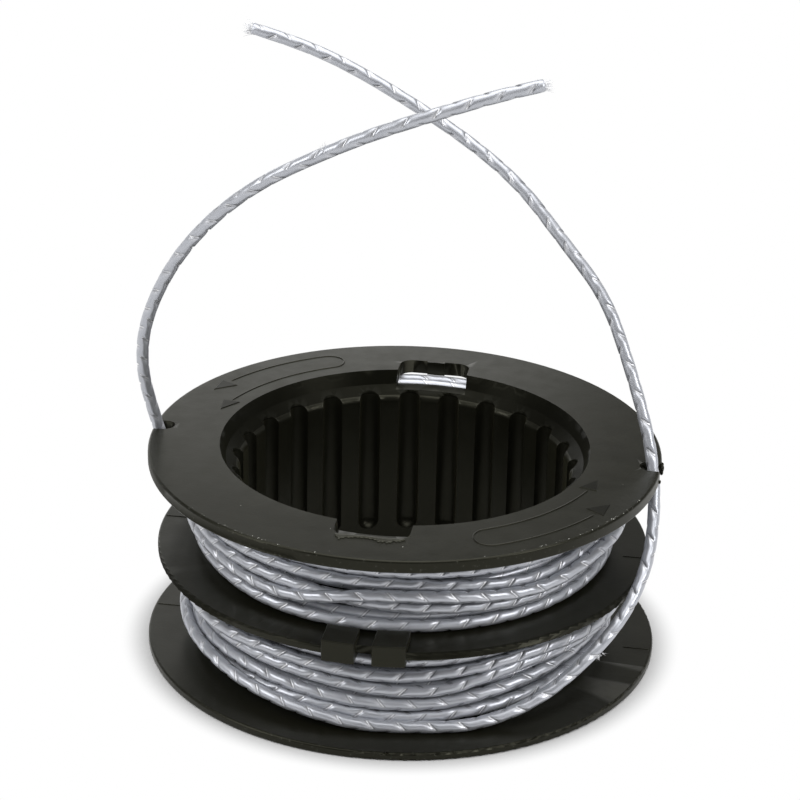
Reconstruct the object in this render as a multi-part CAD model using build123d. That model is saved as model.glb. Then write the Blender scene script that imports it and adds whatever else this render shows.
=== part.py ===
from build123d import *
import os
from math import cos, pi, radians, sin, sqrt, tan

# Trimmer line spool, in millimetres: one moulding with three flanges on a splined hub, and a length of
# line wound in each of its two channels. +Z is up along the hub, and the origin is the centre of the bottom
# flange's underside. +X and -X pass through the two rim slots, and -Y is the side of the middle tabs.

# Line
line_d = 2.0

# Flanges and channels, from the bottom up
bottom_flange_r = 42.2
bottom_flange_t = 1.4
lower_channel_h = 15.4
middle_flange_r = 40.5
middle_flange_t = 1.4
upper_channel_h = 14.5
top_flange_r = 42.0
top_flange_t = 2.1
top_flange_crown = 0.4
rim_edge_r = 0.4
rim_edge_share = 0.4

# Bore, from the lands outwards: round grooves that stop above the underside, hub wall, ledge and lead-in
land_r = 27.0
groove_count = 25
groove_r = 1.85
groove_depth = 1.45
groove_low_z = 6.4
hub_wall = 2.65
ledge_w = 2.3
ledge_h = 1.75
lead_in_w = 1.0
lead_in_h = 1.85

# Cut-outs of the top flange
rim_slot_clear = 1.3
rim_slot_depth = 3.5
notch_w = 12.0
notch_depth = 4.4
notch_floor_drop = 2.5
notch_corner_r = 2.2
notch_tooth_w = 3.0
notch_tooth_h = 0.4

# Slot of the middle flange, and the two block tabs beside it
middle_slot_x = 0.2
middle_slot_clear = 0.7
middle_slot_depth = 1.9
tab_w = 5.3
tab_rise = 1.2
tab_drop = 1.05
tab_proud = 0.3
tab_winding_clear = 0.4
tab_edge_r = 0.2

# Windings: two nested layers in each channel, and a last turn that rides on them and becomes the tail
winding_layers = 2
winding_slack = 0.3
turn_crest_h = 0.7
last_turn_gap = 0.05
last_turn_lift = 0.05
upper_last_row = 1
upper_leave_az = 122.0
upper_last_arc = 60.0
lower_leave_az = -75.0
lower_last_arc = 300.0
leave_run = 8.0

# Tails, after the run that leaves the winding
upper_tail_points = [
    (-31.9, 19.0, 21.7),
    (-36.6, 11.9, 22.9),
    (-39.3, 6.2, 24.9),
    (-40.4, 2.6, 28.2),
    (-40.8, 0.6, 32.2),
    (-42.0, -1.4, 38.6),
    (-42.6, -5.6, 46.8),
    (-41.2, -10.4, 55.9),
    (-37.7, -14.8, 65.0),
    (-32.8, -18.7, 73.7),
    (-26.5, -22.1, 81.5),
    (-19.0, -24.7, 88.2),
    (-10.2, -25.8, 93.4),
    (-1.1, -26.5, 98.0),
    (8.5, -26.4, 101.8),
    (17.0, -24.0, 104.4),
    (22.9, -22.4, 105.7),
]
lower_tail_points = [
    (25.7, -27.4, 4.9),
    (32.9, -22.5, 10.2),
    (38.6, -17.1, 16.2),
    (41.5, -9.6, 22.2),
    (41.5, -1.9, 28.7),
    (40.6, 0.5, 35.1),
    (39.2, 2.8, 41.0),
    (36.0, 6.9, 49.8),
    (31.0, 11.1, 59.3),
    (23.4, 14.9, 67.2),
    (15.4, 18.7, 74.9),
    (6.1, 22.1, 80.7),
    (-4.2, 24.5, 85.7),
    (-14.4, 26.2, 90.4),
    (-23.2, 27.2, 93.5),
    (-31.2, 27.7, 95.3),
]
tail_fillet_share = 0.45

# Worked out from the sizes above
line_r = line_d / 2
hub_r = land_r + groove_depth + hub_wall
ledge_r = land_r + ledge_w
opening_r = ledge_r + lead_in_w
lower_floor_z = bottom_flange_t
middle_z = lower_floor_z + lower_channel_h
upper_floor_z = middle_z + middle_flange_t
top_z = upper_floor_z + upper_channel_h
rim_z = top_z + top_flange_t
opening_z = rim_z + top_flange_crown
ledge_z = rim_z - lead_in_h
land_z = ledge_z - ledge_h
winding_r = hub_r + line_d * (1 + (winding_layers - 1) * sqrt(3) / 2)
last_turn_r = winding_r + line_r + last_turn_gap
tab_inner_r = winding_r + tab_winding_clear
tab_outer_r = middle_flange_r + tab_proud
middle_slot_w = line_d + middle_slot_clear

# How far a cutter reaches past the faces that it cuts
past = 1.0


def moulding_section():
    """Half section of the moulding in the XZ plane, with rounded rims."""
    corners = [
        (land_r, 0),
        (bottom_flange_r, 0),
        (bottom_flange_r, lower_floor_z),
        (hub_r, lower_floor_z),
        (hub_r, middle_z),
        (middle_flange_r, middle_z),
        (middle_flange_r, upper_floor_z),
        (hub_r, upper_floor_z),
        (hub_r, top_z),
        (top_flange_r, top_z),
        (top_flange_r, rim_z),
        (opening_r, opening_z),
        (ledge_r, ledge_z),
        (land_r, land_z),
    ]
    section = make_face(Polyline(*corners, close=True))
    thinnest = min(bottom_flange_t, middle_flange_t, top_flange_t)
    rims = section.vertices().filter_by(lambda corner: corner.X > hub_r + past)
    return Plane.XZ * fillet(rims, min(rim_edge_r, rim_edge_share * thinnest))


def grooves():
    """Ball-ended cutters of the bore's grooves, which stop above the underside, one of them centred on -Y."""
    end_z = groove_low_z + groove_r
    high_z = opening_z + past
    ball = CenterArc((0, end_z), groove_r, -90, 90)
    shank = Polyline((groove_r, end_z), (groove_r, high_z), (0, high_z), (0, groove_low_z))
    cutter = revolve(Plane.XZ * make_face([ball, shank]), Axis.Z)
    place = PolarLocations(land_r + groove_depth - groove_r, groove_count, start_angle=-90)
    return [spot * cutter for spot in place]


def rim_slots():
    """Round-ended cutters of the two slots in the top flange's rim, on +X and -X."""
    width = line_d + rim_slot_clear
    end_x = top_flange_r - rim_slot_depth + width / 2
    mouth_x = top_flange_r + past
    outline = Pos((end_x + mouth_x) / 2, 0) * Rectangle(mouth_x - end_x, width)
    outline += Pos(end_x, 0) * Circle(width / 2)
    cutter = Pos(0, 0, top_z - past) * extrude(outline, top_flange_t + top_flange_crown + 2 * past)
    return [Rot(0, 0, turn) * cutter for turn in (0, 180)]


def notches():
    """Cutters of the two notches in the top flange's opening, on -Y and +Y, toothed at the back."""
    outer_y = opening_r + notch_depth
    outline = Pos(0, outer_y / 2) * Rectangle(notch_w, outer_y)
    outline = fillet(outline.vertices().group_by(Axis.Y)[-1], notch_corner_r)
    outline -= Pos(0, outer_y) * Rectangle(notch_tooth_w, 2 * notch_tooth_h)
    height = notch_floor_drop + top_flange_crown + past
    cutter = Pos(0, 0, rim_z - notch_floor_drop) * extrude(outline, height)
    return [Rot(0, 0, turn) * cutter for turn in (0, 180)]


def middle_slot():
    """Cutter of the middle flange's slot, a shallow one in its rim on -Y."""
    length = middle_slot_depth + past
    height = middle_flange_t + 2 * past
    box = Box(middle_slot_w, length, height, align=(Align.CENTER, Align.MAX, Align.MIN))
    return Pos(middle_slot_x, middle_slot_depth - middle_flange_r, middle_z - past) * box


def tabs():
    """The two block tabs beside the middle flange's slot, their fronts and backs curved with the rim."""
    height = tab_drop + middle_flange_t + tab_rise
    ring = Cylinder(tab_outer_r, height) - Cylinder(tab_inner_r, height)
    strip = Box(tab_w, tab_outer_r, height, align=(Align.CENTER, Align.MAX, Align.CENTER))
    x = (middle_slot_w + tab_w) / 2
    blocks = [ring & Pos(middle_slot_x + side * x, 0, 0) * strip for side in (-1, 1)]
    middle = Pos(0, 0, middle_z - tab_drop + height / 2)
    return [middle * fillet(block.edges(), tab_edge_r) for block in blocks]


def spool_body():
    """The moulding: hub, flanges and tabs, with the bore's grooves and the flanges' cut-outs."""
    body = revolve(moulding_section(), Axis.Z)
    body -= grooves()
    body -= rim_slots()
    body -= notches()
    body -= middle_slot()
    body += tabs()
    return body.solid()


def winding(floor_z, channel_h, leave_az, last_arc, last_z):
    """Ring of turns that fills a channel, with the last turn on it up to the place where the tail leaves.

    A narrow web joins the last turn to the ring, so that the winding is one solid.
    """
    rows = int(channel_h // line_d)
    pitch = (channel_h - winding_slack) / rows
    valley_r = winding_r - turn_crest_h
    edges = [Line((hub_r, floor_z), (valley_r, floor_z))]
    for row in range(rows):
        low_z = floor_z + row * pitch
        crest = (winding_r, low_z + pitch / 2)
        edges.append(ThreePointArc((valley_r, low_z), crest, (valley_r, low_z + pitch)))
    top = floor_z + rows * pitch
    edges.append(Polyline((valley_r, top), (hub_r, top), (hub_r, floor_z)))
    ring = revolve(Plane.XZ * make_face(edges), Axis.Z)
    web_w = last_turn_r - valley_r
    web = Pos(last_turn_r - web_w / 2, last_z) * Rectangle(web_w, line_r)
    turn_section = Plane.XZ * (Pos(last_turn_r, last_z) * Circle(line_r) + web)
    last_turn = revolve(turn_section, Axis.Z, revolution_arc=last_arc)
    return (ring + Rot(0, 0, leave_az - last_arc) * last_turn).solid()


def tail_points(leave_az, last_z, free_points):
    """Route of a tail: off the last turn along its tangent, then through the chosen points."""
    outward = Vector(cos(radians(leave_az)), sin(radians(leave_az)), 0)
    along = Vector(-outward.Y, outward.X, 0)
    start = outward * last_turn_r + Vector(0, 0, last_z)
    return [start, start + along * leave_run] + [Vector(*point) for point in free_points]


def tail(name, points):
    """Tube along a tail's route, with arcs as large as their runs allow."""
    radii = []
    for before, here, after in zip(points, points[1:], points[2:]):
        shorter = min((here - before).length, (after - here).length)
        half_turn = radians((here - before).get_angle(after - here)) / 2
        radii.append(tail_fillet_share * shorter / tan(half_turn))
    path = FilletPolyline(*points, radius=radii)
    section = Plane(origin=path @ 0, z_dir=path % 0) * Circle(line_r)
    tube = sweep(section, path=path).solid()
    expected = pi * line_r**2 * path.length
    print(name, "arc radii", [round(radius, 1) for radius in radii])
    print(name, "length", round(path.length, 1), "volume ratio", round(tube.volume / expected, 4))
    return tube


upper_pitch = (upper_channel_h - winding_slack) / int(upper_channel_h // line_d)
upper_last_z = upper_floor_z + (upper_last_row + 0.5) * upper_pitch
lower_last_z = lower_floor_z + line_r + last_turn_lift
upper_route = tail_points(upper_leave_az, upper_last_z, upper_tail_points)
lower_route = tail_points(lower_leave_az, lower_last_z, lower_tail_points)
parts = {
    "spool_body": spool_body(),
    "upper_winding": winding(upper_floor_z, upper_channel_h, upper_leave_az, upper_last_arc, upper_last_z),
    "lower_winding": winding(lower_floor_z, lower_channel_h, lower_leave_az, lower_last_arc, lower_last_z),
    "upper_line_tail": tail("upper_line_tail", upper_route),
    "lower_line_tail": tail("lower_line_tail", lower_route),
}
os.makedirs("parts", exist_ok=True)
for name, solid in parts.items():
    export_step(solid, f"parts/{name}.step")
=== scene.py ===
from math import cos, pi, radians, sin

import bmesh
import bpy
import numpy as np
from mathutils import Matrix, Vector


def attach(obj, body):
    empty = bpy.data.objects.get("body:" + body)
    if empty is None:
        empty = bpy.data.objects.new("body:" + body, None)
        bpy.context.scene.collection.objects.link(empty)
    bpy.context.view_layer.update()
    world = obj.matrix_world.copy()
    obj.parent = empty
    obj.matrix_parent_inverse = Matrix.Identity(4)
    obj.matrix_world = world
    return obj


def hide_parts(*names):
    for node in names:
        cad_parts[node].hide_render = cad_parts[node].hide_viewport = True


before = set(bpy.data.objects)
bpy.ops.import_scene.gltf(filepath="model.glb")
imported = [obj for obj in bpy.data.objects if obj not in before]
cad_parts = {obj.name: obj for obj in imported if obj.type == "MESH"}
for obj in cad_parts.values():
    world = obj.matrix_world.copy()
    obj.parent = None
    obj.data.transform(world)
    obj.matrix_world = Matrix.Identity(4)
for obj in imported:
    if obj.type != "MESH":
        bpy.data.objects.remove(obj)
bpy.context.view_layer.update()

# Spool body: one black plastic moulding, a splined hub with three flanges. It is the solid itself with its
# loose triangles joined, its sharp corners eased and the tops of the bore's lands rolled over, as moulded
# corners are, and with a satin, slightly scuffed skin that is duller in the bore's lead-in. Its outer rims
# are paled in patches, partly as wear and partly as painted highlight.

weld_gap = 0.000002
cut_gap = 0.0000001
corner_ease = 0.00016
ease_steps = 2
corner_angle = radians(38)
flat_angle = radians(0.01)
area_weight = 70
opening_r = 0.0303
lead_in_low_z = 0.0317
lead_in_level = 0.95
ledge_r = 0.0293
ledge_z = 0.03295
land_r = 0.0270
land_z = 0.0312
groove_out_r = 0.0286
land_round = 0.0015
round_steps = 5
on_surface = 0.00004

spool_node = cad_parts["spool_body"]
spool_mesh = spool_node.data.copy()
joined = bmesh.new()
joined.from_mesh(spool_mesh)
bmesh.ops.remove_doubles(joined, verts=joined.verts, dist=weld_gap)
bmesh.ops.dissolve_limit(joined, angle_limit=flat_angle, verts=joined.verts, edges=joined.edges)
ledge_slope = np.arctan2(ledge_z - land_z, ledge_r - land_r)
land_turn = pi / 2 - ledge_slope
land_reach = land_round * np.tan(land_turn / 2)
below_edge = land_z - np.linspace(1, 0, round_steps) * land_reach
above_edge = land_z + np.linspace(0, 1, round_steps)[1:] * land_reach * np.sin(ledge_slope)

# Rings of points where the lands are rolled over
for height in np.concatenate([below_edge, above_edge]):
    whole = joined.verts[:] + joined.edges[:] + joined.faces[:]
    bmesh.ops.bisect_plane(joined, geom=whole, dist=cut_gap, plane_co=(0, 0, height), plane_no=(0, 0, 1))

# Corners are eased, apart from the splines' own, which stay sharp with the crease over the ledge
eased = joined.edges.layers.float.new("bevel_weight_edge")
for edge in joined.edges:
    ends = np.array([(corner.co.xy.length, corner.co.z) for corner in edge.verts])
    is_crease = abs(ends - (ledge_r, ledge_z)).max() < on_surface
    is_spline = ends[:, 0].max() < groove_out_r and ends[:, 1].max() < land_z + on_surface
    is_corner = edge.calc_face_angle(0.0) > corner_angle
    edge.smooth = not (is_crease or is_spline and is_corner)
    edge[eased] = float(is_corner and not is_spline)
joined.to_mesh(spool_mesh)
joined.free()


def round_land_tops(mesh):
    """Roll the bore's lands over into the ledge above them by an arc that meets both.

    In the section, a point at a distance from their corner, less than the arc's reach, goes to the
    point of the arc that lies at the same share of its turn.
    """
    places = np.empty(len(mesh.vertices) * 3)
    mesh.vertices.foreach_get("co", places)
    x, y, z = places.reshape(-1, 3).T
    radius = np.hypot(x, y)
    out, rise = radius - land_r, z - land_z
    on_land = (abs(out) < on_surface) & (rise <= 0)
    on_ledge = (abs(rise * cos(ledge_slope) - out * sin(ledge_slope)) < on_surface) & (rise > 0)
    distance = np.where(on_land, rise, np.where(on_ledge, out / cos(ledge_slope), land_reach))
    turned = land_turn * (distance + land_reach) / (2 * land_reach)
    moved = (abs(distance) < land_reach) & (on_land | on_ledge)
    new_radius = np.where(moved, land_r + land_round * (1 - np.cos(turned)), radius)
    new_z = np.where(moved, land_z - land_reach + land_round * np.sin(turned), z)
    new_x = x * new_radius / radius
    new_y = y * new_radius / radius
    mesh.vertices.foreach_set("co", np.column_stack([new_x, new_y, new_z]).ravel())
    mesh.update()


spool = bpy.data.objects.new("spool", spool_mesh)
bpy.context.scene.collection.objects.link(spool)
round_land_tops(spool_mesh)
easing = spool.modifiers.new("eased corners", "BEVEL")
easing.width = corner_ease
easing.segments = ease_steps
easing.limit_method = "WEIGHT"
easing.face_strength_mode = "FSTR_ALL"
shading = spool.modifiers.new("even shading", "WEIGHTED_NORMAL")
shading.mode = "FACE_AREA"
shading.weight = area_weight
shading.keep_sharp = True
shading.use_face_influence = True
spool_mesh.polygons.foreach_set("use_smooth", np.ones(len(spool_mesh.polygons), bool))


class NodeSheet:
    """The node tree of a material or a world, with short calls for the nodes that are used here."""

    def __init__(self, owner):
        owner.use_nodes = True
        self.owner = owner
        self.tree = owner.node_tree
        self.shader = self.tree.nodes.get("Principled BSDF")

    def add(self, kind, inputs=(), **settings):
        """A node with its settings and inputs, where an input is a number, a colour or another socket."""
        node = self.tree.nodes.new(kind)
        for key, value in settings.items():
            setattr(node, key, value)
        for key, value in dict(inputs).items():
            self.put(node.inputs[key], value)
        return node

    def put(self, socket, value):
        """A value or a link on a socket."""
        if isinstance(value, bpy.types.NodeSocket):
            self.tree.links.new(value, socket)
        else:
            socket.default_value = value

    def math(self, operation, *values):
        """The result of one sum on numbers or sockets."""
        node = self.tree.nodes.new("ShaderNodeMath")
        node.operation = operation
        for socket, value in zip(node.inputs, values):
            self.put(socket, value)
        return node.outputs[0]

    def ramp(self, value, low, high, out_low=0.0, out_high=1.0):
        """A smooth rise from out_low to out_high while value goes from low to high."""
        node = self.add("ShaderNodeMapRange", interpolation_type="SMOOTHSTEP")
        for socket, number in zip(node.inputs, (value, low, high, out_low, out_high)):
            self.put(socket, number)
        return node.outputs[0]

    def hill(self, value, up_from, up_to, down_from, down_to):
        """A smooth rise from 0 to 1 times a smooth fall back to 0, while value goes through four numbers."""
        rise = self.ramp(value, up_from, up_to)
        fall = self.ramp(value, down_from, down_to, 1.0, 0.0)
        return self.math("MULTIPLY", rise, fall)

    def noise(self, vector, scale, detail=2.0, roughness=0.5):
        """Noise from about 0 to 1 at so many features a metre."""
        inputs = {"Vector": vector, "Scale": scale, "Detail": detail, "Roughness": roughness}
        return self.add("ShaderNodeTexNoise", inputs).outputs["Fac"]

    def mix(self, share, first, second):
        """A colour between two, by a share from 0 to 1."""
        node = self.add("ShaderNodeMix", data_type="RGBA")
        for socket, value in zip((node.inputs[0], node.inputs[6], node.inputs[7]), (share, first, second)):
            self.put(socket, value)
        return node.outputs[2]


clouds_a_metre = 70
rim_patches_a_metre = 1500
satin_a_metre = 260
grains_a_metre = 2600
waves_a_metre = 240
grain_share = 0.35
skin_bump = 0.08
skin_depth = 0.0003
# Rims paled in patches near their edge: partly wear, partly painted highlight standing for light on the rims.
wear_and_highlight_from_r = 0.0413
wear_and_highlight_to_r = 0.0420
wear_and_highlight_colour = (0.06, 0.06, 0.052, 1)
wear_and_highlight_share = 0.7
worn_dulling = 0.15
satin_roughness = (0.29, 0.37)
gloss_tint = (1.0, 0.985, 0.75, 1)
sheen_tint = (1.0, 0.97, 0.6, 1)
sheen_share = 1 / 15
black_tones = [(0.0018, 0.0018, 0.0011, 1), (0.0027, 0.0027, 0.0017, 1)]
dulled_tones = [(0.0022, 0.0022, 0.0014, 1), (0.0040, 0.0040, 0.0026, 1)]


def black_plastic(name, dark, light, gloss):
    """Olive-black satin plastic between two tones, with gloss as its specular level.

    Slow noise clouds it, and sharper noise pales it in patches near the rims, partly as rubbed wear and
    partly as painted highlight. Its skin is bumped by fine grain on longer waves.
    """
    sheet = NodeSheet(bpy.data.materials.new(name))
    place = sheet.add("ShaderNodeTexCoord").outputs["Object"]
    axes = sheet.add("ShaderNodeSeparateXYZ", {"Vector": place})
    across = sheet.math("POWER", axes.outputs["X"], 2.0)
    along = sheet.math("POWER", axes.outputs["Y"], 2.0)
    radius = sheet.math("SQRT", sheet.math("ADD", across, along))

    flow = sheet.noise(place, clouds_a_metre, 4, 0.6)
    colour = sheet.mix(sheet.ramp(flow, 0.3, 0.7), dark, light)

    # Painted highlight as well as wear: a pale patchy band on the rims, partly standing for light catching
    # them.
    rim = sheet.ramp(radius, wear_and_highlight_from_r, wear_and_highlight_to_r)
    rim_patches = sheet.ramp(sheet.noise(place, rim_patches_a_metre, 3, 0.7), 0.60, 0.74)
    wear_and_highlight = sheet.math("MULTIPLY", rim, rim_patches)
    colour = sheet.mix(sheet.math("MULTIPLY", wear_and_highlight, wear_and_highlight_share), colour, wear_and_highlight_colour)
    sheet.put(sheet.shader.inputs["Base Color"], colour)

    satin = sheet.ramp(sheet.noise(place, satin_a_metre, 3, 0.6), 0.3, 0.7, *satin_roughness)
    dulling = sheet.math("MULTIPLY", wear_and_highlight, worn_dulling)
    sheet.put(sheet.shader.inputs["Roughness"], sheet.math("ADD", satin, dulling))
    sheet.shader.inputs["Specular IOR Level"].default_value = gloss
    sheet.shader.inputs["Specular Tint"].default_value = gloss_tint
    sheet.shader.inputs["Sheen Weight"].default_value = gloss * sheen_share
    sheet.shader.inputs["Sheen Tint"].default_value = sheen_tint

    grain = sheet.noise(place, grains_a_metre, 2, 0.6)
    waves = sheet.noise(place, waves_a_metre, 2, 0.5)
    height = sheet.math("ADD", sheet.math("MULTIPLY", grain, grain_share), waves)
    bump = sheet.add("ShaderNodeBump", {"Strength": skin_bump, "Distance": skin_depth, "Height": height})
    sheet.put(sheet.shader.inputs["Normal"], bump.outputs["Normal"])
    return sheet.owner


plastic = black_plastic("black_plastic", *black_tones, 0.3)
dulled = black_plastic("dulled_plastic", *dulled_tones, 0.06)
spool_mesh.materials.clear()
spool_mesh.materials.append(plastic)
spool_mesh.materials.append(dulled)
face_middles = np.empty(len(spool_mesh.polygons) * 3)
face_normals = np.empty(len(spool_mesh.polygons) * 3)
spool_mesh.polygons.foreach_get("center", face_middles)
spool_mesh.polygons.foreach_get("normal", face_normals)
x, y, z = face_middles.reshape(-1, 3).T
is_lead_in = (np.hypot(x, y) < opening_r) & (z > lead_in_low_z) & (face_normals[2::3] < lead_in_level)
spool_mesh.polygons.foreach_set("material_index", is_lead_in.astype(int))
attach(spool, "root")
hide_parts("spool_body")

# Winding arrows: two U-shaped double arrows on the top flange, opposite each other. They are part of the
# moulding, raised by shallow cuts in the mould, and their heads are flat and matt.

opening_z = 0.0352
rim_r = 0.0420
rim_drop = 0.0004
arrow_w = 0.00036
arrow_h = 0.00012
arrow_sink = 0.00004
rib_columns = 7
rib_end_share = 0.1
head_top_share = 0.84
turn_az = -59.5
turn_r = 0.03595
turn_half = 0.00265
turn_steps = 24
arm_end_az = (-19.8, -30.4)
arm_steps = (40, 30)
arrow_heads = [
    [(-20.1, 0.0316), (-19.4, 0.0348), (-12.7, 0.0333)],
    [(-29.7, 0.0363), (-29.8, 0.0400), (-23.6, 0.0386)],
]


def top_flange_height(radius):
    """Height of the top flange's face, which falls evenly from the opening to the rim."""
    return opening_z - rim_drop * (radius - opening_r) / (rim_r - opening_r)


def on_top_flange(azimuth, radius):
    """Points on the top flange's face, from their azimuths in degrees and their radii."""
    azimuth, radius = np.radians(azimuth), np.asarray(radius)
    return np.column_stack([radius * np.cos(azimuth), radius * np.sin(azimuth), top_flange_height(radius)])


def closed_strip(grid):
    """Points and faces of a grid whose rows are rings, joined in order and capped at both ends."""
    rows, columns = grid.shape[:2]
    row, column = np.meshgrid(np.arange(rows - 1) * columns, np.arange(columns), indexing="ij")
    beside = (column + 1) % columns
    quads = np.stack([row + column, row + beside, row + columns + beside, row + columns + column], -1)
    caps = [list(range(columns)), list(range((rows - 1) * columns, rows * columns))]
    return grid.reshape(-1, 3), quads.reshape(-1, 4).tolist() + caps


def low_rib(points, width, height):
    """A low half-oval rib along points on a level face, sunk a little into it and pinched in at both ends."""
    ahead = np.gradient(points, axis=0)
    across = np.cross(ahead, (0, 0, 1))
    across /= np.linalg.norm(across, axis=1, keepdims=True)
    reach = np.concatenate([[0], np.cumsum(np.linalg.norm(np.diff(points, axis=0), axis=1))])
    full = np.clip(np.minimum(reach, reach[-1] - reach) / width, rib_end_share, 1)[:, None]
    theta = np.linspace(0, pi, rib_columns)
    aside = full * np.cos(theta) * width / 2
    rise = full * np.sin(theta) * (height + arrow_sink) - arrow_sink
    return closed_strip(points[:, None] + aside[..., None] * across[:, None] + rise[..., None] * (0, 0, 1))


def low_plate(corners, height):
    """A low plate with sloping sides on three corners of a level face."""
    middle = corners.mean(0)
    top = middle + head_top_share * (corners - middle) + (0, 0, height)
    verts = np.vstack([corners - (0, 0, arrow_sink), top])
    return verts, [[3, 4, 5], [0, 1, 2], [0, 1, 4, 3], [1, 2, 5, 4], [2, 0, 3, 5]]


def trim_piece(name, shapes, finish):
    """One piece of several closed shapes, each its points and faces, with a finish, riding on the spool."""
    verts, faces, first = [], [], 0
    for points, polygons in shapes:
        verts.append(points)
        faces += [[first + corner for corner in polygon] for polygon in polygons]
        first += len(points)
    mesh = bpy.data.meshes.new(name)
    mesh.from_pydata(np.vstack(verts), [], faces)
    outwards = bmesh.new()
    outwards.from_mesh(mesh)
    bmesh.ops.recalc_face_normals(outwards, faces=outwards.faces)
    outwards.to_mesh(mesh)
    outwards.free()
    mesh.materials.append(finish)
    piece = bpy.data.objects.new(name, mesh)
    bpy.context.scene.collection.objects.link(piece)
    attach(piece, "root")


bend = np.linspace(0, pi, turn_steps)[1:-1]
arrow_az = np.concatenate([
    np.linspace(arm_end_az[0], turn_az, arm_steps[0]),
    turn_az - np.degrees(turn_half * np.sin(bend) / turn_r),
    np.linspace(turn_az, arm_end_az[1], arm_steps[1]),
])
arrow_r = np.concatenate([
    np.full(arm_steps[0], turn_r - turn_half),
    turn_r - turn_half * np.cos(bend),
    np.full(arm_steps[1], turn_r + turn_half),
])
arrow_shapes = []
head_shapes = []
for turned in (0, 180):
    arrow_shapes.append(low_rib(on_top_flange(arrow_az + turned, arrow_r), arrow_w, arrow_h))
    for head in arrow_heads:
        head_az, head_r = np.array(head).T
        head_shapes.append(low_plate(on_top_flange(head_az + turned, head_r), arrow_h))
matt = black_plastic("matt_plastic", *black_tones, 0.15)
trim_piece("winding_arrows", arrow_shapes, plastic)
trim_piece("arrow_heads", head_shapes, matt)

# Parting lines: fine ridges on the lower two flanges, to the right and left, where the halves of the mould
# met. They are part of the moulding, and each run is its inner radius, outer radius and height.

ridge_w = 0.00022
ridge_h = 0.00010
ridge_steps = 12
ridge_runs = [(0.0364, 0.0403, 0.0182), (0.0372, 0.0420, 0.0014)]

ridge_shapes = []
for inner, outer, height in ridge_runs:
    for side in (-1, 1):
        run = side * np.linspace(inner, outer, ridge_steps)
        ridge_shapes.append(low_rib(np.column_stack([run, 0 * run, 0 * run + height]), ridge_w, ridge_h))
trim_piece("parting_lines", ridge_shapes, plastic)

# Notch burr: a torn skin of plastic, paler than the rest, folded out over the edge of the front notch. It is
# one strip across the notch, whose section goes up the notch's wall, over the edge and down at its own rim.

burr_ends = (-0.0054, 0.0056)
burr_steps = 90
burr_edge = -0.03466
burr_spread_at = [
    (-0.0054, 0.0005), (-0.0047, 0.0015), (-0.0033, 0.0009), (-0.0015, 0.0006), (0.0004, 0.0007),
    (0.0014, 0.0013), (0.0029, 0.0015), (0.0040, 0.0009), (0.0050, 0.0006), (0.0056, 0.0001),
]
burr_out = np.array([0.0, 0.0, 0.35, 0.8, 1.0, 1.0])
burr_up = np.array([-0.0005, 0.00016, 0.00019, 0.00017, 0.00010, -0.00006])
torn_tones = [(0.012, 0.012, 0.009, 1), (0.022, 0.022, 0.018, 1)]

burr_x = np.linspace(*burr_ends, burr_steps)
burr_waves = 1 + 0.12 * np.sin(9300 * burr_x) + 0.10 * np.sin(4100 * burr_x + 1)
burr_spread = np.interp(burr_x, *np.array(burr_spread_at).T) * burr_waves
burr_y = burr_edge - burr_spread[:, None] * burr_out
burr_z = top_flange_height(np.hypot(burr_x[:, None], burr_y)) + burr_up
burr_grid = np.stack([np.broadcast_to(burr_x[:, None], burr_y.shape), burr_y, burr_z], -1)
torn = black_plastic("torn_plastic", *torn_tones, 0.3)
trim_piece("notch_burr", [closed_strip(burr_grid)], torn)

# Upper line: a length of silver-grey nylon line, 2 mm thick, with nicks pressed into it all along.
# Its inner end lies on the hub under the turns. It is wound in the upper channel in two layers, up and
# back down, and its springy free end stands up through the left rim slot.

line_d = 0.002
line_r = line_d / 2
hub_r = 0.0311
front_az = -90
step_az = 10
steps_a_turn = 360 // step_az

line_sides = 20
nick_pitch = 0.00488
nick_slant = radians(40)
nick_depth = 0.00026
nick_half = line_r * np.arccos(1 - nick_depth / line_r)
ramp_depth = 0.00009
ramp_from = -0.0010
wall_from = -0.00021
floor_from = -0.00009
floor_to = 0.00011
wall_to = 0.00025
swell_to = 0.00075
spline_steps = 24
hidden_gap = 0.003
hidden_clear = 0.001
shown_early = 0.1
end_plain = 0.0006
end_square = 0.0008
end_ease = 0.00012
end_shrink = 0.00014


def wound_points(wound):
    """Control points of a winding, from pairs of degrees wound and the height there in millimetres.

    Zero degrees is the first pass of the front, and between the pairs the height goes evenly. At each
    azimuth the line lies on the hub or on whichever turn under it stands out furthest: its radius is that
    turn's radius plus the rise of one circle rolling over another. The radius is then evened out along
    the line, which is stiff, and set out by what an order-3 spline cuts off.
    """
    turns, heights = np.array(wound).T
    angle = np.arange(turns[0], turns[-1] + 1, step_az)
    height = np.interp(angle, turns, heights / 1000)
    count = -(-len(angle) // steps_a_turn)
    spare = count * steps_a_turn - len(angle)
    rows = np.pad(height, (0, spare), mode="edge").reshape(count, steps_a_turn)
    radius = np.full(rows.shape, hub_r + line_r)
    for turn in range(1, count):
        apart = np.minimum(abs(rows[turn] - rows[:turn]), line_d)
        rise = np.where(apart < line_d, radius[:turn] + np.sqrt(line_d**2 - apart**2), 0)
        radius[turn] = np.maximum(rise.max(0), hub_r + line_r)
    radius = radius.ravel()[: len(angle)]
    weights = np.array([1, 2, 3, 2, 1]) / 9
    radius = np.convolve(np.pad(radius, 2, mode="edge"), weights, mode="valid")
    radius = radius / cos(radians(step_az) / 2)
    azimuth = np.radians(front_az + angle)
    return np.column_stack([radius * np.cos(azimuth), radius * np.sin(azimuth), height])


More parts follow.
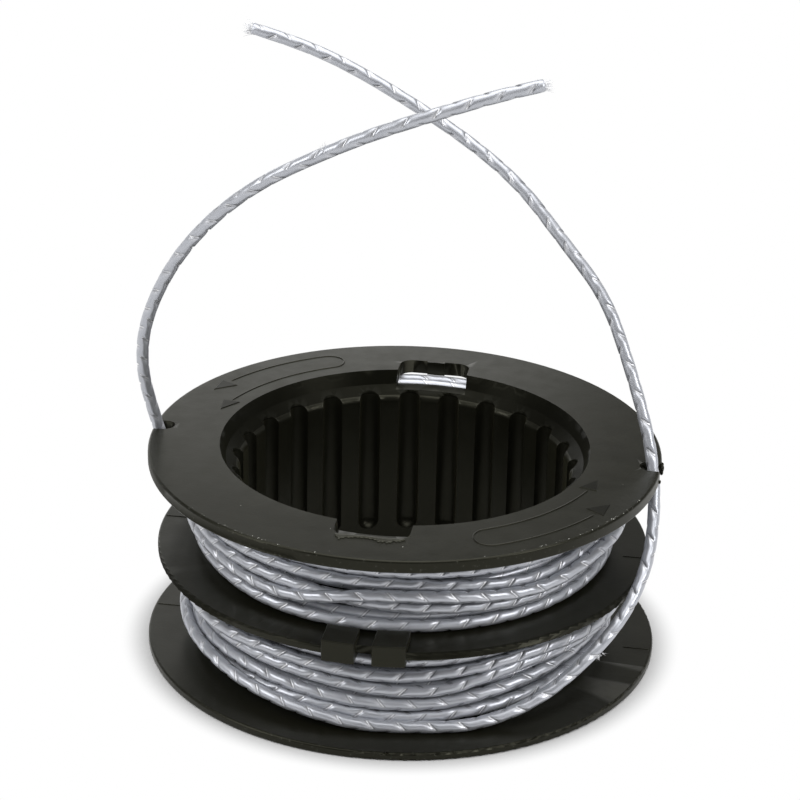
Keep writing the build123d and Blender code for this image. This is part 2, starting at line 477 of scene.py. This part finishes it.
def spline_line(name, points):
    """Points along one order-3 NURBS spline that has the route's points as its control points."""
    curve = bpy.data.curves.new(name, "CURVE")
    curve.dimensions = "3D"
    curve.resolution_u = spline_steps
    spline = curve.splines.new("NURBS")
    spline.points.add(len(points) - 1)
    spline.points.foreach_set("co", np.column_stack([points, np.ones(len(points))]).ravel())
    spline.order_u = 3
    spline.use_endpoint_u = True
    carrier = bpy.data.objects.new(name, curve)
    bpy.context.scene.collection.objects.link(carrier)
    bpy.context.view_layer.update()
    drawn = bpy.data.meshes.new_from_object(carrier)
    line = np.empty(len(drawn.vertices) * 3)
    drawn.vertices.foreach_get("co", line)
    bpy.data.objects.remove(carrier)
    bpy.data.curves.remove(curve)
    bpy.data.meshes.remove(drawn)
    return line.reshape(-1, 3)


def nick_cut(along, quarter):
    """Depth of the nicks at a distance along the line and an angle round it in quarter turns.

    Four rows of nicks lie a quarter turn apart. Each second row is half a pitch on and slants the other
    way. A nick is pressed by a straight edge: a ramp leads down to it, its floor is a flat chord of the
    round line between two steep walls, and past it the line swells back to its full size.
    """
    row = np.round(quarter)
    odd = np.mod(row, 2)
    angle = (quarter - row) * pi / 2
    place = (np.mod(along / nick_pitch + odd / 2 + 0.5, 1) - 0.5) * nick_pitch
    off = place * cos(nick_slant) - (1 - 2 * odd) * angle * line_r * sin(nick_slant)
    chord = np.maximum(line_r - (line_r - nick_depth) / np.cos(angle), 0)
    inside = np.interp(off, [wall_from, floor_from, floor_to, wall_to], [0, 1, 1, 0])
    ramp = np.interp(off, [ramp_from, wall_from, floor_to, wall_to, swell_to], [0, 1, 1, 0.3, 0])
    return np.maximum(chord * inside, ramp_depth * ramp * np.cos(2 * angle))


def line_tube(name, centre, shown_from, roll):
    """Tube of nicked line along centre, closed at both ends, and the points that its rings go round.

    Rings zigzag round the line so that they run along the nicks, with six rings to each half pitch, one at
    each bend of a nick's section. What lies under other turns, up to shown_from, has plain rings further
    apart, and the rings at both ends are square to the line. A ring's columns follow the line as it rolls:
    roll holds distances along the line and the quarter turns rolled there.
    """
    steps = np.linalg.norm(np.diff(centre, axis=0), axis=1)
    reach = np.concatenate([[0], np.cumsum(steps)])
    total = reach[-1]
    bends = np.array([ramp_from, wall_from, floor_from, floor_to, wall_to, swell_to])
    offsets = bends / cos(nick_slant)
    zones = np.arange(round(2 * shown_from / nick_pitch), int(2 * total / nick_pitch) + 1) * nick_pitch / 2
    shown = (zones[:, None] + offsets).ravel()
    shown = shown[shown < total - end_plain]
    hidden = np.arange(end_plain, shown[0] - hidden_clear, hidden_gap)
    ring_at = np.concatenate([[0.0, end_ease], hidden, shown, [total - end_ease, total]])
    quarter = np.arange(line_sides + 1) * 4 / line_sides
    near = quarter - np.round(quarter)
    slant = (1 - 2 * np.mod(np.round(quarter), 2)) * near * (pi / 2) * line_r * np.tan(nick_slant)
    from_end = np.minimum(ring_at, total - ring_at)
    along = ring_at[:, None] + slant * np.clip(from_end / end_square, 0, 1)[:, None]
    middle = np.stack([np.interp(along, reach, centre[:, axis]) for axis in range(3)], -1)
    heading = np.gradient(centre, reach, axis=0)
    ahead = np.stack([np.interp(along, reach, heading[:, axis]) for axis in range(3)], -1)
    ahead /= np.linalg.norm(ahead, axis=-1, keepdims=True)
    outward = middle * (1, 1, 0)
    outward -= (outward * ahead).sum(-1, keepdims=True) * ahead
    outward /= np.linalg.norm(outward, axis=-1, keepdims=True)
    aside = np.cross(ahead, outward)
    angle = (quarter + np.interp(along, *roll)) * pi / 2
    radius = line_r - nick_cut(along, quarter) * (along > shown_from - nick_pitch)
    radius[[0, -1]] -= end_shrink
    spoke = np.cos(angle)[..., None] * outward + np.sin(angle)[..., None] * aside
    rings = middle + radius[..., None] * spoke
    caps = np.stack([middle[0].mean(0), middle[-1].mean(0)])
    verts = np.concatenate([rings[:, :-1].reshape(-1, 3), caps])
    count = len(ring_at)
    row, column = np.meshgrid(np.arange(count - 1), np.arange(line_sides), indexing="ij")
    corners = [(row, column), (row, column + 1), (row + 1, column + 1), (row + 1, column)]
    quads = np.stack([ring * line_sides + side % line_sides for ring, side in corners], -1).reshape(-1, 4)
    around = np.arange(line_sides)
    onward = np.roll(around, -1)
    last = (count - 1) * line_sides
    first_cap = np.column_stack([np.full(line_sides, len(verts) - 2), onward, around])
    last_cap = np.column_stack([np.full(line_sides, len(verts) - 1), last + around, last + onward])
    mesh = bpy.data.meshes.new(name)
    mesh.from_pydata(verts, [], quads.tolist() + first_cap.tolist() + last_cap.tolist())
    mesh.shade_smooth()
    corners_uv = [np.stack([along[ring, side], quarter[side]], -1) for ring, side in corners]
    uv = np.stack(corners_uv, 2).reshape(-1, 2)
    caps_uv = np.full((6 * line_sides, 2), 0.5)
    layer = mesh.uv_layers.new(name="along_line")
    layer.data.foreach_set("uv", np.concatenate([uv, caps_uv]).ravel())
    cut_face = np.zeros(len(mesh.polygons), int)
    cut_face[len(quads):] = 1
    mesh.polygons.foreach_set("material_index", cut_face)
    mesh.update()
    piece = bpy.data.objects.new(name, mesh)
    bpy.context.scene.collection.objects.link(piece)
    return piece, np.column_stack([np.interp(ring_at, reach, centre[:, axis]) for axis in range(3)])


line_tones = [(0.47, 0.485, 0.525, 1), (0.54, 0.555, 0.595, 1)]
line_metal = 0.7
line_roughness = (0.30, 0.40)
line_bump = 0.1
line_depth = 0.00002
streak_scale = (260.0, 2.2, 1.0)
fibre_scale = (900.0, 14.0, 1.0)
# Colours painted into the nicks: a highlight on the ramp, pale cut and highlight on the floor, shade on the
# walls.
nick_ramp_highlight_colour = (0.80, 0.80, 0.82, 1)
nick_ramp_highlight_share = 0.35
# Nick floors: partly the paler fresh-cut nylon, partly a painted highlight.
nick_floor_pale_and_highlight_colour = (0.92, 0.92, 0.93, 1)
nick_floor_pale_and_highlight_share = 0.85
dullest_floor = 0.35
# Painted shade on the nicks' steep walls, weaker on the near wall.
nick_wall_shade_colour = (0.12, 0.12, 0.13, 1)
nick_wall_shade_share = 0.5
near_wall_shade_share = 0.6
cut_tones = [(0.50, 0.51, 0.53, 1), (0.78, 0.78, 0.79, 1)]
cut_roughness = 0.7
patches_a_metre = 3000


def silver_line():
    """Pearly silver nylon: soft metal-like gloss, faint streaks along it, bright floors in the nicks.

    A point's distance across its nick, off, says whether it is on the ramp, a wall or the floor. The ramp
    gets a painted highlight, the floor is paled partly as fresh-cut nylon and partly as painted highlight,
    and the walls get painted shade. Each of these fades in and out a little to either side of the bends in
    the nick's section.
    """
    sheet = NodeSheet(bpy.data.materials.new("silver_line"))
    place = sheet.add("ShaderNodeUVMap", uv_map="along_line").outputs["UV"]
    spot = sheet.add("ShaderNodeSeparateXYZ", {"Vector": place})
    along = spot.outputs["X"]
    quarter = spot.outputs["Y"]
    row = sheet.math("ROUND", quarter)
    odd = sheet.math("FLOORED_MODULO", row, 2.0)
    across = sheet.math("MULTIPLY", sheet.math("SUBTRACT", quarter, row), line_r * pi / 2)
    cell = sheet.math("MULTIPLY_ADD", odd, 0.5, sheet.math("MULTIPLY_ADD", along, 1 / nick_pitch, 0.5))
    number = sheet.math("FLOOR", cell)
    from_middle = sheet.math("SUBTRACT", sheet.math("SUBTRACT", cell, number), 0.5)
    here = sheet.math("MULTIPLY", from_middle, nick_pitch)
    lean = sheet.math("MULTIPLY_ADD", odd, -2.0, 1.0)
    straight = sheet.math("MULTIPLY", here, cos(nick_slant))
    leaning = sheet.math("MULTIPLY", sheet.math("MULTIPLY", lean, across), sin(nick_slant))
    off = sheet.math("SUBTRACT", straight, leaning)
    aside = sheet.math("ABSOLUTE", across)
    within = sheet.ramp(aside, nick_half * 0.8, nick_half * 1.1, 1.0, 0.0)
    broad = sheet.ramp(aside, nick_half * 0.4, nick_half * 1.3, 1.0, 0.0)
    # Painted highlight on each nick's ramp, standing for the light that its tilted facet catches.
    nick_ramp = sheet.hill(off, ramp_from, wall_from, wall_from, floor_from)
    ramp_highlight = sheet.math("MULTIPLY", broad, nick_ramp)
    # The floor is paled partly as fresh-cut nylon and partly as painted highlight, by a random share for each
    # nick.
    nick_floor = sheet.hill(off, wall_from * 0.9, floor_from * 0.5, floor_to * 0.7, floor_to * 1.2)
    face = sheet.math("MULTIPLY", within, nick_floor)
    # Painted shade on the nick's two walls, where the recess is in shade.
    near_wall = sheet.hill(off, wall_from * 1.6, wall_from * 1.1, wall_from * 0.7, floor_from * 0.6)
    far_wall = sheet.hill(off, floor_to * 0.8, floor_to * 1.3, wall_to, wall_to * 1.4)
    wall_shade = sheet.math("MAXIMUM", sheet.math("MULTIPLY", near_wall, near_wall_shade_share), far_wall)
    edge = sheet.math("MULTIPLY", within, wall_shade)
    which = sheet.add("ShaderNodeCombineXYZ", {"X": number, "Y": row, "Z": 0.0}).outputs["Vector"]
    chance = sheet.add("ShaderNodeTexWhiteNoise", {"Vector": which}, noise_dimensions="3D").outputs["Value"]
    face = sheet.math("MULTIPLY", face, sheet.ramp(chance, 0.0, 1.0, dullest_floor, 1.0))

    stretched = sheet.add("ShaderNodeMapping", {"Vector": place, "Scale": streak_scale}).outputs["Vector"]
    streak = sheet.noise(stretched, 1.0, 3, 0.6)
    colour = sheet.mix(sheet.ramp(streak, 0.3, 0.7), *line_tones)
    # Painted highlight on the ramps, pale cut and painted highlight on the floors, painted shade on the
    # walls.
    colour = sheet.mix(sheet.math("MULTIPLY", ramp_highlight, nick_ramp_highlight_share), colour, nick_ramp_highlight_colour)
    colour = sheet.mix(sheet.math("MULTIPLY", face, nick_floor_pale_and_highlight_share), colour, nick_floor_pale_and_highlight_colour)
    colour = sheet.mix(sheet.math("MULTIPLY", edge, nick_wall_shade_share), colour, nick_wall_shade_colour)
    sheet.put(sheet.shader.inputs["Base Color"], colour)
    sheet.shader.inputs["Metallic"].default_value = line_metal
    sheet.put(sheet.shader.inputs["Roughness"], sheet.ramp(streak, 0.25, 0.75, *line_roughness))

    drawn_out = sheet.add("ShaderNodeMapping", {"Vector": place, "Scale": fibre_scale}).outputs["Vector"]
    height = sheet.noise(drawn_out, 1.0, 2)
    bump = sheet.add("ShaderNodeBump", {"Strength": line_bump, "Distance": line_depth, "Height": height})
    sheet.put(sheet.shader.inputs["Normal"], bump.outputs["Normal"])
    return sheet.owner


def cut_end():
    """Pale, matt face where the line was cut, whitened in patches."""
    sheet = NodeSheet(bpy.data.materials.new("cut_end"))
    place = sheet.add("ShaderNodeTexCoord").outputs["Object"]
    patches = sheet.ramp(sheet.noise(place, patches_a_metre, 2), 0.35, 0.65)
    sheet.put(sheet.shader.inputs["Base Color"], sheet.mix(patches, *cut_tones))
    sheet.shader.inputs["Roughness"].default_value = cut_roughness
    return sheet.owner


# Height in millimetres at so many degrees wound: inner layer up, outer layer down, then the last turn, which
# climbs over the one before it and comes round the back to the left rim slot.
upper_wound = [
    (180, 19.25), (1980, 31.68), (2340, 31.68), (2460, 31.3), (2490, 31.2), (2530, 31.0), (2580, 30.6),
    (2820, 29.3), (2850, 29.15), (2890, 28.95), (2940, 28.3), (3180, 27.25), (3210, 27.1), (3250, 26.85),
    (3270, 25.9), (3282, 25.15), (3290, 25.1), (3300, 25.8), (3540, 25.3), (3550, 25.0), (3560, 24.8),
    (3580, 24.3), (3600, 23.4), (3620, 22.5), (3640, 21.7), (3650, 21.7), (3670, 22.8), (3900, 21.2),
    (3910, 20.85), (3930, 19.95), (3945, 19.6), (3970, 19.4), (4000, 19.3), (4020, 19.5), (4035, 19.9),
    (4260, 23.2), (4270, 22.9), (4285, 22.35), (4295, 22.3), (4305, 23.2), (4312, 24.5), (4320, 25.3),
    (4330, 25.4), (4340, 25.2), (4358, 24.1), (4368, 23.9), (4378, 24.7), (4388, 25.6), (4532, 21.24),
]

# Quarter turns that the line is rolled by at so many degrees wound, and what its tail adds to them
upper_roll = [
    (2460, -1.2), (2890, -1.35), (3250, -1.2), (3600, -1.25), (3970, -1.3), (4270, -0.25), (4532, -0.3),
]
upper_tail_roll = 1.1
upper_tail = [
    (-0.01901, 0.03043, 0.02124),
    (-0.0258, 0.02619, 0.02124),
    (-0.0319, 0.0190, 0.0217),
    (-0.0366, 0.0119, 0.0229),
    (-0.0393, 0.0062, 0.0249),
    (-0.0404, 0.0026, 0.0282),
    (-0.0408, 0.0006, 0.0322),
    (-0.0420, -0.0014, 0.0386),
    (-0.0426, -0.0056, 0.0468),
    (-0.0412, -0.0104, 0.0559),
    (-0.0377, -0.0148, 0.0650),
    (-0.0328, -0.0187, 0.0737),
    (-0.0265, -0.0221, 0.0815),
    (-0.0190, -0.0247, 0.0882),
    (-0.0102, -0.0258, 0.0934),
    (-0.0011, -0.0265, 0.0980),
    (0.0085, -0.0264, 0.1018),
    (0.0170, -0.0240, 0.1044),
    (0.0229, -0.0224, 0.1057),
]
line_finishes = [silver_line(), cut_end()]


def make_line(name, wound, roll, tail, tail_roll, nodes):
    """One length of line, its winding and its tail on one spline, finished and attached to the root."""
    coil = wound_points(wound)
    centre = spline_line(name, np.vstack([coil[:-1], tail]))
    total = np.linalg.norm(np.diff(centre, axis=0), axis=1).sum()
    tail_length = np.linalg.norm(np.diff(np.array(tail), axis=0), axis=1).sum()
    turns, rolled = np.array(roll).T
    begin = wound[0][0]
    wound_length = total - tail_length
    inner_length = 2 * pi * (hub_r + line_r) * (turns[0] - begin) / 360
    stations = inner_length + (wound_length - inner_length) * (turns - turns[0]) / (turns[-1] - turns[0])
    stations = np.append(stations, total)
    rolled = np.append(rolled, rolled[-1] + tail_roll)
    piece, path = line_tube(name, centre, inner_length - shown_early, (stations, rolled))
    for finish in line_finishes:
        piece.data.materials.append(finish)
    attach(piece, "root")
    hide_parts(*nodes)


make_line(
    "upper_line", upper_wound, upper_roll, upper_tail, upper_tail_roll, ["upper_winding", "upper_line_tail"]
)

# Lower line: a second length of the same line, wound the same way round in the lower channel, down and back
# up. Its last turn drops round the back to the bottom flange, and its free end rises outside the middle
# flange and out through the right rim slot.

lower_wound = [
    (180, 15.75), (2340, 2.45), (2460, 4.6), (2500, 4.26), (2530, 3.26), (2550, 3.76), (2570, 4.66),
    (2580, 5.56), (2840, 6.86), (2860, 6.26), (2880, 5.66), (2890, 5.56), (2900, 5.66), (2920, 7.06),
    (2950, 8.96), (3200, 9.46), (3220, 9.16), (3240, 8.26), (3250, 7.96), (3260, 7.96), (3270, 9.26),
    (3280, 10.26), (3290, 10.36), (3550, 10.96), (3570, 11.46), (3590, 10.96), (3600, 10.56), (3610, 10.56),
    (3630, 11.46), (3640, 12.1), (3650, 12.3), (3660, 12.0), (3920, 14.2), (3940, 13.8), (3960, 13.4),
    (3980, 13.4), (4000, 14.3), (4020, 14.8), (4050, 14.8), (4240, 6.5), (4260, 5.8), (4270, 5.6),
    (4290, 4.4), (4310, 3.1), (4320, 2.5), (4335, 2.45),
]
lower_roll = [
    (2460, -1.27), (2880, -0.4), (3250, -1.15), (3600, -1.3), (3960, -0.6), (4335, -0.35),
]
lower_tail_roll = 1.1
lower_tail = [
    (0.00929, -0.03466, 0.00245),
    (0.01701, -0.03259, 0.00245),
    (0.0257, -0.0274, 0.0045),
    (0.0329, -0.0225, 0.0098),
    (0.0386, -0.0171, 0.0160),
    (0.0415, -0.0096, 0.0222),
    (0.0415, -0.0019, 0.0287),
    (0.0406, 0.0005, 0.0351),
    (0.0390, 0.0028, 0.0409),
    (0.0354, 0.0069, 0.0496),
    (0.0308, 0.0111, 0.0592),
    (0.0231, 0.0149, 0.0669),
    (0.0153, 0.0187, 0.0747),
    (0.0060, 0.0221, 0.0805),
    (-0.0042, 0.0245, 0.0856),
    (-0.0144, 0.0262, 0.0904),
    (-0.0232, 0.0272, 0.0935),
    (-0.0312, 0.0277, 0.0953),
]

make_line(
    "lower_line", lower_wound, lower_roll, lower_tail, lower_tail_roll, ["lower_winding", "lower_line_tail"]
)

# Frayed ends: fine pale fibres where the line was cut and where it was scraped, splayed out of its skin. Each
# tuft is its seed, root, direction, number of fibres, and their length, splay and reach about the root. The
# first two are at the ends of the upper and lower tails, and the others are scuffs on them.

fibre_r = 0.00005
fibre_taper = (1.0, 0.8, 0.3)
shortest_share = 0.45
bow_share = 0.6
straight_lean = 0.3
tufts = [
    (3, (0.02285, -0.02242, 0.10562), (0.0059, 0.0016, 0.0006), 40, 0.0014, 0.45, 0.00085),
    (5, (-0.03095, 0.02769, 0.09525), (-0.0080, 0.0005, 0.0012), 90, 0.0017, 0.45, 0.00095),
    (7, (-0.0092, -0.0264, 0.0946), (0.3, -0.6, 0.8), 26, 0.0008, 0.9, 0.0007),
    (9, (0.0353, -0.0212, 0.0111), (0.6, -0.4, -0.6), 16, 0.0007, 0.9, 0.0006),
]


def fibres(seed, root, along, count, length, splay, reach):
    """Tapered four-sided fibres from a disc of radius reach about root, bent away from the line's direction.

    Each fibre leans out by a random share of splay, and its three stations bow outwards a little.
    """
    dice = np.random.default_rng(seed)
    root, along = np.array(root), np.array(along) / np.linalg.norm(along)
    side = np.cross(along, (0, 0, 1))
    side /= np.linalg.norm(side)
    over = np.cross(side, along)
    shapes = []
    for turn, out, lean, size in dice.random((count, 4)):
        outward = cos(2 * pi * turn) * side + sin(2 * pi * turn) * over
        heading = along + splay * lean * outward
        start = root + reach * np.sqrt(out) * outward
        run = length * (shortest_share + (1 - shortest_share) * size)
        middle = start + 0.5 * run * heading
        tip = middle + 0.5 * run * (heading + bow_share * splay * (lean - straight_lean) * outward)
        ring = np.array([side, over, -side, -over]) * fibre_r
        stations = zip((start, middle, tip), fibre_taper)
        shapes.append(closed_strip(np.stack([place + share * ring for place, share in stations])))
    return shapes


frayed = [fibre for tuft in tufts for fibre in fibres(*tuft)]
trim_piece("frayed_ends", frayed, line_finishes[1])

# Slot burr: lips of torn plastic at the mouth of the right rim slot, pulled outwards by the line. They are
# part of the moulding, and each is its middle and its three half sizes.

lump_columns = 12
lump_rows = 7
lump_reach = 0.45 * pi
burr_lumps = [
    (0.04196, 0.00185, 0.03435, 0.00030, 0.00060, 0.00045),
    (0.04202, 0.00200, 0.03370, 0.00034, 0.00050, 0.00060),
    (0.04200, 0.00180, 0.03310, 0.00030, 0.00045, 0.00040),
    (0.04198, -0.00195, 0.03315, 0.00026, 0.00030, 0.00030),
]


def ragged_lump(x, y, z, half_x, half_y, half_z):
    """A ball stretched to three half sizes, its surface thrown in and out by two waves round and over it."""
    turns = np.arange(lump_columns) * 2 * pi / lump_columns
    rise, turn = np.meshgrid(np.linspace(-lump_reach, lump_reach, lump_rows), turns, indexing="ij")
    swell = 1 + 0.22 * np.sin(3 * turn + 900 * z) * np.cos(2 * rise) + 0.15 * np.sin(5 * turn - 4 * rise)
    ball = [half_x * np.cos(rise) * np.cos(turn), half_y * np.cos(rise) * np.sin(turn), half_z * np.sin(rise)]
    return closed_strip(np.stack([middle + swell * size for middle, size in zip((x, y, z), ball)], -1))


trim_piece("slot_burr", [ragged_lump(*lump) for lump in burr_lumps], plastic)

# Dust and chips: pale grains gathered along the worn front edge of the top flange and a few on its face. They
# lie loose on the plastic, and each is a slightly flattened octahedron with its corners pulled in or out.

grains_on_edge = 70
edge_az = (-158.0, -18.0)
edge_r = (0.04135, 0.04175)
clump_az = [-128, -112, -48, -35]
clump_spread = 9
grains_on_face = [
    (-101.0, 0.0337), (-81.5, 0.0372), (-97.5, 0.0405), (-12.0, 0.0374), (2.5, 0.0369), (-128.0, 0.0352),
]
grain_size = (0.00003, 0.00009)
grain_stretch = (0.6, 1.6)
tones_a_metre = 900
dust_tones = [(0.10, 0.10, 0.085, 1), (0.55, 0.55, 0.50, 1)]
dust_roughness = 0.8
dust_seed = 11

dice = np.random.default_rng(dust_seed)
gathered = np.clip(dice.normal(dice.choice(clump_az, grains_on_edge), clump_spread), *edge_az)
places = np.vstack([
    on_top_flange(gathered, dice.uniform(*edge_r, grains_on_edge)),
    on_top_flange(*np.array(grains_on_face).T),
])
octahedron = np.array([(1, 0, 0), (0, 1, 0), (-1, 0, 0), (0, -1, 0), (0, 0, 0.7), (0, 0, -0.7)])
octahedron_faces = [[0, 1, 4], [1, 2, 4], [2, 3, 4], [3, 0, 4], [1, 0, 5], [2, 1, 5], [3, 2, 5], [0, 3, 5]]
grain_shapes = []
for place in places:
    stretch = dice.uniform(*grain_size) * dice.uniform(*grain_stretch, (len(octahedron), 1))
    grain_shapes.append((place + octahedron * stretch, octahedron_faces))


def pale_dust():
    """Pale grey dust, from dull to nearly white from grain to grain."""
    sheet = NodeSheet(bpy.data.materials.new("pale_dust"))
    place = sheet.add("ShaderNodeTexCoord").outputs["Object"]
    tone = sheet.ramp(sheet.noise(place, tones_a_metre, 1), 0.35, 0.65)
    sheet.put(sheet.shader.inputs["Base Color"], sheet.mix(tone, *dust_tones))
    sheet.shader.inputs["Roughness"].default_value = dust_roughness
    return sheet.owner


trim_piece("dust", grain_shapes, pale_dust())

# Floor: a white sweep under the spool. Close round the spool it is grey, so that beside the real soft
# shadow under and inside the spool it darkens round the base as painted shade, and it fades to plain white a
# little way off.

floor_half = 3.0
near_floor_shade_tone = (0.42, 0.42, 0.42, 1)
floor_roughness = 0.9
floor_gloss = 0.85
fade_from = 0.0417
fade_to = 0.0470

floor_mesh = bpy.data.meshes.new("floor")
corners = floor_half * np.array([(-1, -1, 0), (1, -1, 0), (1, 1, 0), (-1, 1, 0)])
floor_mesh.from_pydata(corners, [], [(0, 1, 2, 3)])
floor = bpy.data.objects.new("floor", floor_mesh)
bpy.context.scene.collection.objects.link(floor)
sheet = NodeSheet(bpy.data.materials.new("white_sweep"))
# Grey floor near the spool: painted shade round its base, on top of the real shadow.
sheet.shader.inputs["Base Color"].default_value = near_floor_shade_tone
sheet.shader.inputs["Roughness"].default_value = floor_roughness
sheet.shader.inputs["Specular IOR Level"].default_value = 0.0
rays = sheet.add("ShaderNodeLightPath").outputs
reflected = sheet.math("MAXIMUM", rays["Is Glossy Ray"], rays["Is Transmission Ray"])
seen = sheet.math("MAXIMUM", rays["Is Camera Ray"], reflected)
spot = sheet.add("ShaderNodeTexCoord").outputs["Object"]
away = sheet.add("ShaderNodeVectorMath", {0: spot}, operation="LENGTH").outputs["Value"]
whiteness = sheet.math("MAXIMUM", rays["Is Camera Ray"], floor_gloss)
white = sheet.add("ShaderNodeEmission", {"Color": (1, 1, 1, 1), "Strength": whiteness})
faded = sheet.math("MULTIPLY", seen, sheet.ramp(away, fade_from, fade_to))
fade = sheet.add("ShaderNodeMixShader", {0: faded, 1: sheet.shader.outputs[0], 2: white.outputs[0]})
sheet.put(sheet.tree.nodes["Material Output"].inputs["Surface"], fade.outputs[0])
floor_mesh.materials.append(sheet.owner)

# Light: a white backdrop behind the spool under a bright ceiling in a dim room, a large soft box overhead, a
# smaller one on each side in front and a weak one low behind. The camera sees white on all sides.

side_light = 0.25
overhead_light = 2.2
backdrop_gloss = 0.38
room_gloss = 0.12
ceiling_gloss = 2.0
backdrop_edge = (-0.25, 0.15)
backdrop_top = (sin(radians(13)), sin(radians(22)))
ceiling_edge = (sin(radians(46)), sin(radians(66)))
overhead_edge = (0.2, 0.7)
light_aim = Vector((0, 0, 0.03))

world = bpy.data.worlds.new("studio")
bpy.context.scene.world = world
sky = NodeSheet(world)
rays = sky.add("ShaderNodeLightPath").outputs
direction = sky.add("ShaderNodeTexCoord").outputs["Generated"]
towards = sky.add("ShaderNodeSeparateXYZ", {"Vector": direction}).outputs
behind = sky.ramp(towards["Y"], *backdrop_edge, 0.0, backdrop_gloss - room_gloss)
below_its_top = sky.ramp(towards["Z"], *backdrop_top, 1.0, 0.0)
ceiling = sky.ramp(towards["Z"], *ceiling_edge, room_gloss, ceiling_gloss)
mirrored = sky.math("ADD", ceiling, sky.math("MULTIPLY", behind, below_its_top))
reflected = sky.math("MAXIMUM", rays["Is Glossy Ray"], rays["Is Transmission Ray"])
plain = sky.math("SUBTRACT", 1.0, sky.math("MAXIMUM", rays["Is Camera Ray"], reflected))
overhead = sky.ramp(towards["Z"], *overhead_edge, side_light, overhead_light)
lighting = sky.math("MULTIPLY", plain, overhead)
strength = sky.math("MAXIMUM", lighting, sky.math("MULTIPLY", reflected, mirrored))
background = sky.tree.nodes["Background"]
background.inputs["Color"].default_value = (1, 1, 1, 1)
sky.put(background.inputs["Strength"], sky.math("MAXIMUM", rays["Is Camera Ray"], strength))


def soft_box(name, place, size, watts):
    """A square area lamp at a place, turned to the spool."""
    lamp = bpy.data.lights.new(name, "AREA")
    lamp.shape = "SQUARE"
    lamp.size = size
    lamp.energy = watts
    box = bpy.data.objects.new(name, lamp)
    box.location = place
    box.rotation_euler = (light_aim - Vector(place)).to_track_quat("-Z", "Y").to_euler()
    bpy.context.scene.collection.objects.link(box)


soft_box("top_box", (0.05, 0.25, 0.85), 0.80, 1.2)
soft_box("left_box", (-0.62, -0.36, 0.44), 0.35, 1.65)
soft_box("right_box", (0.66, -0.28, 0.42), 0.35, 2.0)
soft_box("back_box", (-0.16, 0.37, 0.09), 0.32, 0.24)

# Camera: a long lens that looks 24 degrees down at the spool from just right of the front tabs. Its place is
# given along its own right, up and back, from the middle of the top flange.

view_azimuth = radians(8.6)
view_elevation = radians(24.03)
view_roll = radians(1.28)
aim_height = 0.0348
aim_right = -0.00082
aim_up = 0.00748
aim_back = 0.52806
focal_pixels = 3226
frame_pixels = 800
sensor_width = 36.0

level = Vector((1, 0, 0))
rise = Vector((0, sin(view_elevation), cos(view_elevation)))
back = Vector((0, -cos(view_elevation), sin(view_elevation)))
right = level * cos(view_roll) + rise * sin(view_roll)
up = rise * cos(view_roll) - level * sin(view_roll)
swing = Matrix.Rotation(view_azimuth, 3, "Z")
right, up, back = swing @ right, swing @ up, swing @ back
eye = Vector((0, 0, aim_height)) + right * aim_right + up * aim_up + back * aim_back
lens = bpy.data.cameras.new("camera")
lens.sensor_width = sensor_width
lens.lens = sensor_width * focal_pixels / frame_pixels
lens.clip_start = 0.01
camera = bpy.data.objects.new("camera", lens)
camera.matrix_world = Matrix.Translation(eye) @ Matrix((right, up, back)).transposed().to_4x4()
bpy.context.scene.collection.objects.link(camera)
bpy.context.scene.camera = camera
bpy.context.scene.view_settings.view_transform = "Standard"
